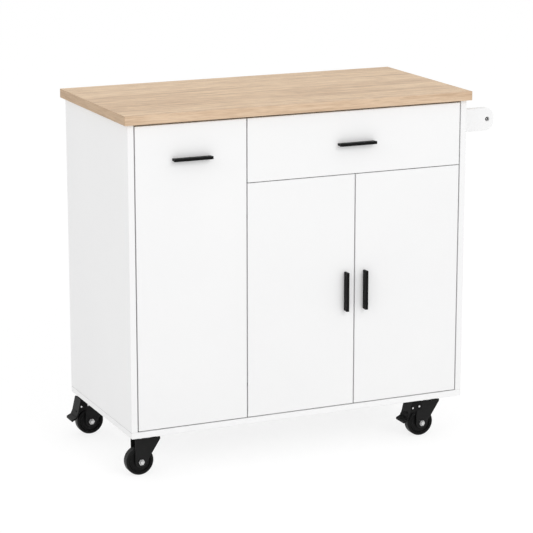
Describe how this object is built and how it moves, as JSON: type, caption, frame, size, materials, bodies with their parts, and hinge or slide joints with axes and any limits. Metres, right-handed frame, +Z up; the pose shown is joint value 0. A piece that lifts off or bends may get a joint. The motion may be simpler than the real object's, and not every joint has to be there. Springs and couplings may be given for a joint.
{
  "type": "kitchen island cart",
  "caption": "Rolling kitchen island cart: white cupboard with oak-look worktop, drawer, doors, tilt-out bin front, towel rail and casters with brakes.",
  "frame": {"origin": "on the floor under the middle of the whole cart's outline, towel rail and caster pedal included", "axes": "+Z up; -Y is the front with the doors; +X points to the end with the towel rail"},
  "size_m": [0.988, 0.458, 0.872],
  "materials": {
    "oak_board": "pale oak laminate, satin",
    "white_board": "white melamine, satin",
    "pull_black": "matt black",
    "fork_black": "satin black",
    "pedal_black": "satin black",
    "wheel_black": "satin black",
    "steel": "zinc plated",
    "rod_steel": "brushed",
    "bumper_rubber": "soft"
  },
  "bodies": {
    "cabinet": {"back_panel": "white_board", "back_towel_bracket": "white_board", "bin_stop_pins": "steel", "bottom_board": "white_board", "bumpers": "bumper_rubber", "cabinet_runners": "steel", "caster_kingpins": "steel", "caster_plates": "steel", "caster_screws": "steel", "divider": "white_board", "drawer_rail": "white_board", "front_towel_bracket": "white_board", "hinge_arms": "steel", "left_side_panel": "white_board", "right_side_panel": "white_board", "shelf": "white_board", "shelf_pins": "steel", "top_rails": "white_board", "towel_rod": "rod_steel", "towel_screws": "steel", "worktop": "oak_board"},
    "bin_front": {"bin_back_rail": "white_board", "bin_front_panel": "white_board", "bin_hinge_cups": "steel", "bin_left_cheek": "white_board", "bin_pull": "pull_black", "bin_pull_screws": "steel", "bin_right_cheek": "white_board", "bin_tray": "white_board"},
    "drawer": {"drawer_back": "white_board", "drawer_bottom": "white_board", "drawer_front": "white_board", "drawer_left_side": "white_board", "drawer_pull": "pull_black", "drawer_pull_screws": "steel", "drawer_right_side": "white_board", "drawer_runners": "steel"},
    "left_door": {"left_door_hinge_cups": "steel", "left_door_panel": "white_board", "left_door_pull": "pull_black", "left_door_pull_screws": "steel"},
    "right_door": {"right_door_hinge_cups": "steel", "right_door_panel": "white_board", "right_door_pull": "pull_black", "right_door_pull_screws": "steel"},
    "front_left_fork": {"front_left_axle": "steel", "front_left_caster_fork": "fork_black"},
    "front_left_wheel": {"front_left_wheel": "wheel_black"},
    "front_right_fork": {"front_right_axle": "steel", "front_right_caster_fork": "fork_black"},
    "front_right_wheel": {"front_right_wheel": "wheel_black"},
    "front_right_pedal": {"front_right_brake_pedal": "pedal_black"},
    "back_left_fork": {"back_left_axle": "steel", "back_left_caster_fork": "fork_black"},
    "back_left_wheel": {"back_left_wheel": "wheel_black"},
    "back_left_pedal": {"back_left_brake_pedal": "pedal_black"},
    "back_right_fork": {"back_right_axle": "steel", "back_right_caster_fork": "fork_black"},
    "back_right_wheel": {"back_right_wheel": "wheel_black"}
  },
  "joints": [
    {"name": "bin_tilt", "type": "hinge", "parent": "cabinet", "child": "bin_front", "pos_m": [-0.31625, -0.2048, 0.1275], "axis": [1, 0, 0], "range_deg": [0, 30]},
    {"name": "drawer_slide", "type": "slide", "parent": "cabinet", "child": "drawer", "axis": [0, -1, 0], "range_m": [0, 0.26]},
    {"name": "left_door_hinge", "type": "hinge", "parent": "cabinet", "child": "left_door", "pos_m": [-0.1655, -0.2048, 0.4045], "axis": [0, 0, -1], "range_deg": [0, 90]},
    {"name": "right_door_hinge", "type": "hinge", "parent": "cabinet", "child": "right_door", "pos_m": [0.38, -0.2048, 0.4045], "axis": [0, 0, 1], "range_deg": [0, 90]},
    {"name": "front_left_swivel", "type": "hinge", "parent": "cabinet", "child": "front_left_fork", "pos_m": [-0.424, -0.171, 0.092], "axis": [0, 0, 1], "continuous": true},
    {"name": "front_left_roll", "type": "hinge", "parent": "front_left_fork", "child": "front_left_wheel", "pos_m": [-0.442, -0.171, 0.0345], "axis": [0, 1, 0], "continuous": true},
    {"name": "front_right_swivel", "type": "hinge", "parent": "cabinet", "child": "front_right_fork", "pos_m": [0.328, -0.171, 0.092], "axis": [0, 0, 1], "continuous": true},
    {"name": "front_right_roll", "type": "hinge", "parent": "front_right_fork", "child": "front_right_wheel", "pos_m": [0.31, -0.171, 0.0345], "axis": [0, 1, 0], "continuous": true},
    {"name": "front_right_brake", "type": "hinge", "parent": "front_right_fork", "child": "front_right_pedal", "pos_m": [0.3015, -0.171, 0.0795], "axis": [0, -1, 0], "range_deg": [0, 8]},
    {"name": "back_left_swivel", "type": "hinge", "parent": "cabinet", "child": "back_left_fork", "pos_m": [-0.424, 0.179, 0.092], "axis": [0, 0, 1], "continuous": true},
    {"name": "back_left_roll", "type": "hinge", "parent": "back_left_fork", "child": "back_left_wheel", "pos_m": [-0.442, 0.179, 0.0345], "axis": [0, 1, 0], "continuous": true},
    {"name": "back_left_brake", "type": "hinge", "parent": "back_left_fork", "child": "back_left_pedal", "pos_m": [-0.4505, 0.179, 0.0795], "axis": [0, -1, 0], "range_deg": [0, 8]},
    {"name": "back_right_swivel", "type": "hinge", "parent": "cabinet", "child": "back_right_fork", "pos_m": [0.328, 0.179, 0.092], "axis": [0, 0, 1], "continuous": true},
    {"name": "back_right_roll", "type": "hinge", "parent": "back_right_fork", "child": "back_right_wheel", "pos_m": [0.31, 0.179, 0.0345], "axis": [0, 1, 0], "continuous": true}
  ]
}
